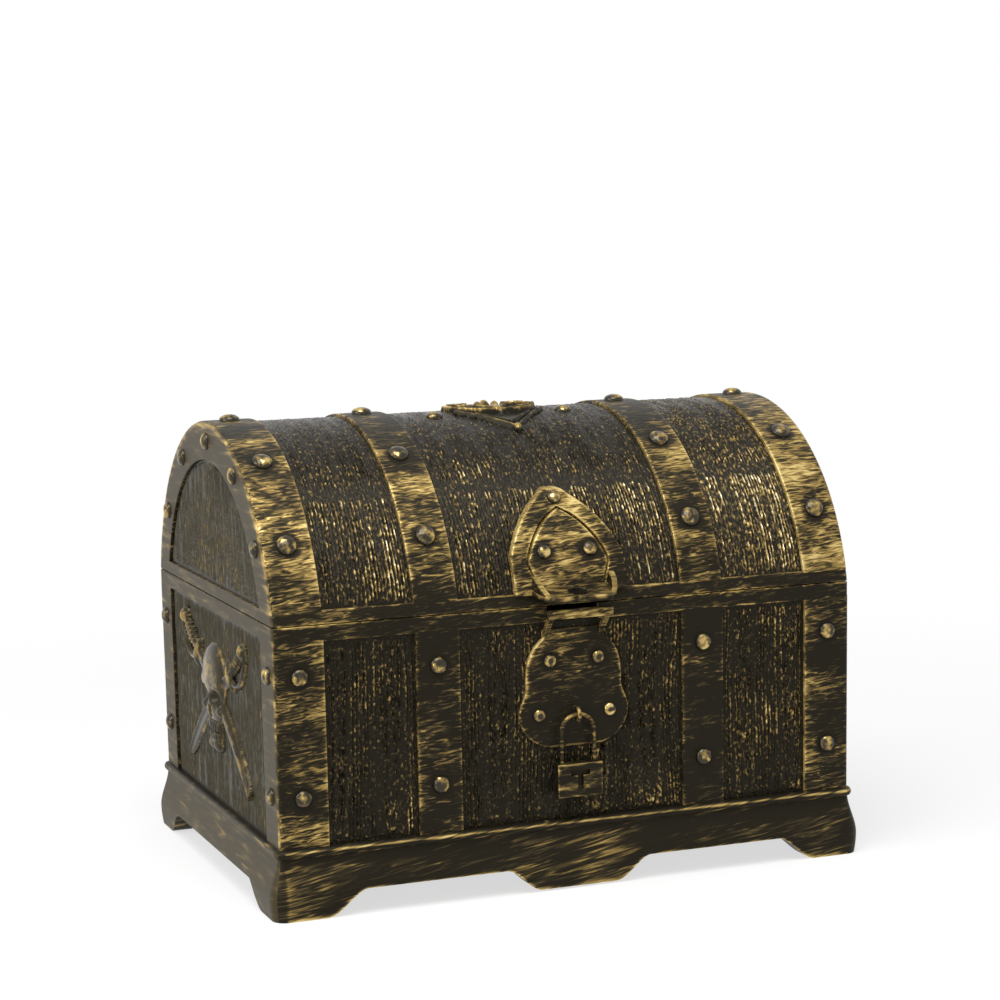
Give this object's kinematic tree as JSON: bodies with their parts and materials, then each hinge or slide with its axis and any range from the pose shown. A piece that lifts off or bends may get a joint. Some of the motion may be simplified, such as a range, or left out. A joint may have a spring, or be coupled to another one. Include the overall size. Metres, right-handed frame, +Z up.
{
  "type": "treasure chest box",
  "caption": "Barrel-top treasure chest with a hinged lid, strapped and studded panels, hasp with pierced tab, hanging padlock and bracket-foot plinth; holds small keepsakes.",
  "frame": {"origin": "on the floor under the middle of the whole box of the part", "axes": "+X to the right along the front, -Y out of the front towards the viewer, +Z up"},
  "size_m": [0.151, 0.1152, 0.1124],
  "materials": {
    "board_plastic": "brown-black semi-gloss moulding with raised wood grain, dry-brushed with gold",
    "plinth_plastic": "brown-black semi-gloss moulding with gold scratches along it and on its edges",
    "strap_plastic": "brown-black semi-gloss moulding with dense gold dry-brush streaks",
    "stud_plastic": "antique bronze paint, gold on the crown and dark round the foot",
    "emblem_plastic": "antique bronze paint, gold on the high places",
    "padlock_plastic": "antique gold paint over brown-black moulding",
    "hinge_plastic": "brown-black semi-gloss moulding with gold on the edges",
    "pin_steel": "plain drawn steel wire"
  },
  "bodies": {
    "chest": {"plinth": "plinth_plastic", "tub": "board_plastic", "rim_band": "strap_plastic", "front_studs": "stud_plastic", "back_studs": "stud_plastic", "lock_plate": "strap_plastic", "lock_plate_studs": "stud_plastic", "catch_loop": "strap_plastic", "staple": "padlock_plastic", "front_strap_left": "strap_plastic", "front_strap_right": "strap_plastic", "back_strap_left": "strap_plastic", "back_strap_right": "strap_plastic", "corner_strap_front_left": "strap_plastic", "corner_strap_front_right": "strap_plastic", "corner_strap_back_left": "strap_plastic", "corner_strap_back_right": "strap_plastic", "end_studs_left": "stud_plastic", "end_studs_right": "stud_plastic", "side_emblem_left": "emblem_plastic", "side_emblem_right": "emblem_plastic", "hinge_leaf_body_left": "hinge_plastic", "hinge_leaf_body_right": "hinge_plastic", "hinge_pin_left": "pin_steel", "hinge_pin_right": "pin_steel"},
    "lid": {"lid_shell": "board_plastic", "lid_rim_band": "strap_plastic", "lid_band_studs": "stud_plastic", "hasp_frame": "strap_plastic", "hasp_leaf": "strap_plastic", "hasp_studs": "stud_plastic", "lid_crest": "emblem_plastic", "crest_studs": "stud_plastic", "lid_band_left": "strap_plastic", "lid_band_right": "strap_plastic", "lid_corner_band_left": "strap_plastic", "lid_corner_band_right": "strap_plastic", "lid_end_studs_left": "stud_plastic", "lid_end_studs_right": "stud_plastic", "hinge_leaf_lid_left": "hinge_plastic", "hinge_leaf_lid_right": "hinge_plastic"},
    "padlock": {"padlock_shackle": "padlock_plastic", "padlock_case": "padlock_plastic"}
  },
  "joints": [
    {"name": "lid_hinge", "type": "hinge", "parent": "chest", "child": "lid", "pos_m": [0, 0.0554, 0.0679], "axis": [-1, 0, 0], "range_deg": [0, 120]},
    {"name": "padlock_swing", "type": "hinge", "parent": "chest", "child": "padlock", "pos_m": [0, -0.05245, 0.042], "axis": [-1, 0, 0], "range_deg": [0, 80]}
  ]
}
